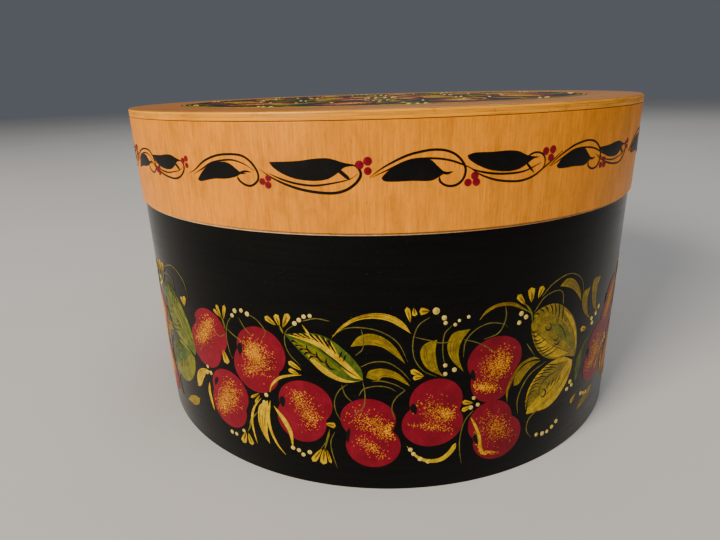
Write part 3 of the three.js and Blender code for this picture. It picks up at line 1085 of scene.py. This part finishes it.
def wreath_leaf(sheet, start, end):
    """A green and gold leaf along the first axis between two distances."""
    span = end - start
    upper = [(start, 0), (start + span * 0.35, 3.6), (start + span * 0.7, 2.9), (end, 0)]
    leaf = Leaf(sheet, "green", upper, [(along, -up) for along, up in upper[1:-1]])
    leaf.patch("gold", [(0.1, 0.5), (0.4, 0.7), (0.7, 0.7), (0.95, 0.5)], [(0.4, 0.95), (0.7, 0.95)])
    leaf.line("black", [(0.1, 0.5), (0.5, 0.5), (0.9, 0.5)], 0.5)


def around(distance, turn):
    """The point at a distance from the middle, turned by degrees."""
    angle = math.radians(turn)
    return distance * math.cos(angle), distance * math.sin(angle)


def paint_lid_top(paints):
    """A dark round field with a wreath of the same motifs. The photo sees it only at a slant."""
    sheet = Sheet(flat_top(lid_top))
    field = 0.815 * lid_radius  # the field's radius, from the photo
    sheet.blob("field", (0, 0), lambda angle: field, FIELD, crown=0.01, sectors=192, rings=48)
    for reach, width in ((field - 1.2, 0.9), (field - 3.6, 0.45)):
        circle = [around(reach, turn) for turn in range(0, 361, 5)]
        sheet.stroke("gold", circle, width, BASE, (0, 0))
    for turn in range(8, 368, 36):
        sheet.move(around(71, turn), turn - 90, 1.12)
        paint_apple(sheet, (1, 4, 10.4, 9.6), (-1, -4, 10.2, 9.6), (-8.5, 2), (-9, -3.5), 2,
                    [(0, 1, 8, 5.5, 60, 384), (-2, -4, 5, 3, 20, 128)])
        sheet.move((0, 0), turn + 18)
        wreath_leaf(sheet, 66, 89)
        wreath_leaf(sheet, 62, 42)
        sheet.stroke("gold", [(58, 0), (64, -2.5), (70, -8), (73, -12)], 1.4)
        for side in (-1, 1):
            sheet.stroke("dull", [(84, 4 * side), (88, 8 * side), (89.5, 13 * side)], 1.8, BASE)
            sheet.stroke("tendril", [(44, 6 * side), (52, 9 * side), (56, 6 * side), (54, 3 * side)], 0.5)
        dots(sheet, [(91.5, -3), (92.3, 0), (91.5, 3), (60, 9), (60, -9)], 0.8)
    for turn in range(0, 360, 60):
        sheet.move(around(24, turn), turn - 90)
        paint_apple(sheet, (0.5, 3, 9.4, 9), (-0.5, -3, 9.4, 9), (-7, 2), (-7.5, -3), 1.8,
                    [(0, 0, 7, 5, 60, 352)])
        sheet.move((0, 0), turn + 30)
        wreath_leaf(sheet, 23, 41)
        for side in (-1, 1):
            sheet.stroke("gold", [(26, 4 * side), (33, 7 * side), (38, 5 * side)], 1.5)
        dots(sheet, [(43.5, 0), (42.5, 3.2), (42.5, -3.2)], 0.8)
    sheet.move((0, 0))
    sheet.dot("gold", (0, 0), 4.5, BASE, 0.15)
    dots(sheet, [around(7.5, turn) for turn in range(0, 360, 36)], 0.9)
    sheet.finish("top", paints, "lid", "lid_plywood")


# ---- Paints ----

# Each paint: the name of its material, its tones from dark to light, and how fine its patches are.
PAINTS = {
    "red": ("apple_red", ((0.14, 0.0008, 0.007), (0.19, 0.0015, 0.012), (0.24, 0.004, 0.017)), 120),
    "stipple": ("stipple_gold", ((0.52, 0.17, 0.0005), (0.8, 0.36, 0.0008), (0.92, 0.54, 0.003)), 900),
    "gold": ("gold_paint", ((0.34, 0.185, 0.0005), (0.54, 0.33, 0.0008), (0.78, 0.52, 0.002)), 420),
    "dull": ("dull_gold_paint", ((0.12, 0.08, 0.001), (0.23, 0.156, 0.0015), (0.4, 0.275, 0.003)), 380),
    "brown": ("brown_glaze", ((0.09, 0.04, 0.001), (0.16, 0.08, 0.002), (0.26, 0.14, 0.004)), 420),
    "green": ("green_paint", ((0.02, 0.045, 0.003), (0.05, 0.09, 0.006), (0.13, 0.15, 0.01)), 320),
    "olive": ("olive_paint", ((0.075, 0.08, 0.002), (0.15, 0.145, 0.003), (0.26, 0.22, 0.005)), 320),
    "tendril": ("tendril_paint", ((0.07, 0.06, 0.008), (0.13, 0.11, 0.014), (0.22, 0.18, 0.02)), 400),
    "cream": ("cream_paint", ((0.4, 0.27, 0.03), (0.7, 0.52, 0.12), (0.86, 0.72, 0.28)), 700),
    "black": ("black_paint", ((0.0015, 0.001, 0.001), (0.0025, 0.002, 0.002), (0.005, 0.004, 0.003)),
              200),
    "field": ("field_paint", ((0.005, 0.003, 0.004), (0.009, 0.006, 0.007), (0.018, 0.012, 0.014)), 80),
}


# ---- Everything ----

build_box()
build_lid()
paints = {colour: paint(*look) for colour, look in PAINTS.items()}
paint_body(paints)
paint_lid_side(paints)
paint_lid_top(paints)
lay_floor()
place_camera()
light_studio()
